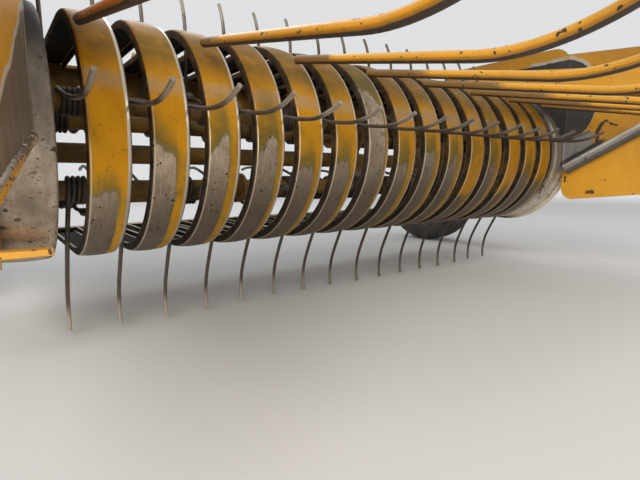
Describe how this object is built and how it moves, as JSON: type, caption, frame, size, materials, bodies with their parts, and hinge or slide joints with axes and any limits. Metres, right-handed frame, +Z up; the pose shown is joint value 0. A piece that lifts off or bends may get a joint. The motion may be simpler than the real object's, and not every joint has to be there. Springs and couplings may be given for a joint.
{
  "type": "round baler pickup",
  "caption": "Pickup head of a round baler: spring-tine reel inside hairpin stripper bands, flared end sheets, hinged rod windguard and gauge wheels.",
  "frame": {"origin": "middle of the pivot tube that the head hangs from", "axes": "+X along the reel, +Y back into the baler, +Z up"},
  "size_m": [1.602, 1.2574, 0.55],
  "materials": {
    "band_paint": "amber paint worn to bright and brown steel where the crop slides",
    "frame_paint": "amber paint, chipped and dusty",
    "worn_steel": "bare steel worn grey with rust freckles",
    "tine_steel": "brown-grey spring steel with polished tips",
    "dull_paint": "dull, dusty amber paint",
    "plain_steel": "plain machined steel, greasy",
    "rim_paint": "off-white wheel paint, dusty",
    "tyre": "weathered ribbed rubber"
  },
  "bodies": {
    "head": {"band_01": "band_paint", "band_02": "band_paint", "band_03": "band_paint", "band_04": "band_paint", "band_05": "band_paint", "band_06": "band_paint", "band_07": "band_paint", "band_08": "band_paint", "band_09": "band_paint", "band_10": "band_paint", "band_11": "band_paint", "band_12": "band_paint", "band_13": "band_paint", "band_14": "band_paint", "band_15": "band_paint", "end_shell_l": "worn_steel", "end_shell_r": "worn_steel", "side_plate_l": "frame_paint", "side_plate_r": "frame_paint", "end_sheet_l": "frame_paint", "end_sheet_r": "frame_paint", "skirt_r": "frame_paint", "ledge_l": "frame_paint", "top_rail": "frame_paint", "bottom_rail": "frame_paint", "pivot_tube": "frame_paint", "lift_lugs": "frame_paint", "bearing_l": "plain_steel", "bearing_r": "plain_steel", "guard_pins": "plain_steel", "guard_stops": "frame_paint", "wheel_arm_l": "frame_paint", "wheel_arm_r": "frame_paint"},
    "reel": {"reel_shaft": "dull_paint", "spiders": "dull_paint", "drive_sprocket": "plain_steel", "tine_bar_1": "dull_paint", "tine_bar_2": "dull_paint", "tine_bar_3": "dull_paint", "tine_bar_4": "dull_paint", "tines_1": "tine_steel", "tines_2": "tine_steel", "tines_3": "tine_steel", "tines_4": "tine_steel"},
    "windguard": {"guard_arm_l": "frame_paint", "guard_arm_r": "frame_paint", "guard_cross_tube": "frame_paint", "guard_rods": "frame_paint"},
    "wheel_l": {"wheel_rim_l": "rim_paint", "tyre_l": "tyre"},
    "wheel_r": {"wheel_rim_r": "rim_paint", "tyre_r": "tyre"}
  },
  "joints": [
    {"name": "reel_turn", "type": "hinge", "parent": "head", "child": "reel", "pos_m": [0, -0.364, -0.13], "axis": [1, 0, 0], "continuous": true},
    {"name": "guard_lift", "type": "hinge", "parent": "head", "child": "windguard", "pos_m": [0, -0.244, 0.115], "axis": [-1, 0, 0], "range_deg": [0, 35]},
    {"name": "wheel_l_turn", "type": "hinge", "parent": "head", "child": "wheel_l", "pos_m": [-0.75, 0.036, -0.21], "axis": [1, 0, 0], "continuous": true},
    {"name": "wheel_r_turn", "type": "hinge", "parent": "head", "child": "wheel_r", "pos_m": [0.75, 0.036, -0.21], "axis": [1, 0, 0], "continuous": true}
  ]
}
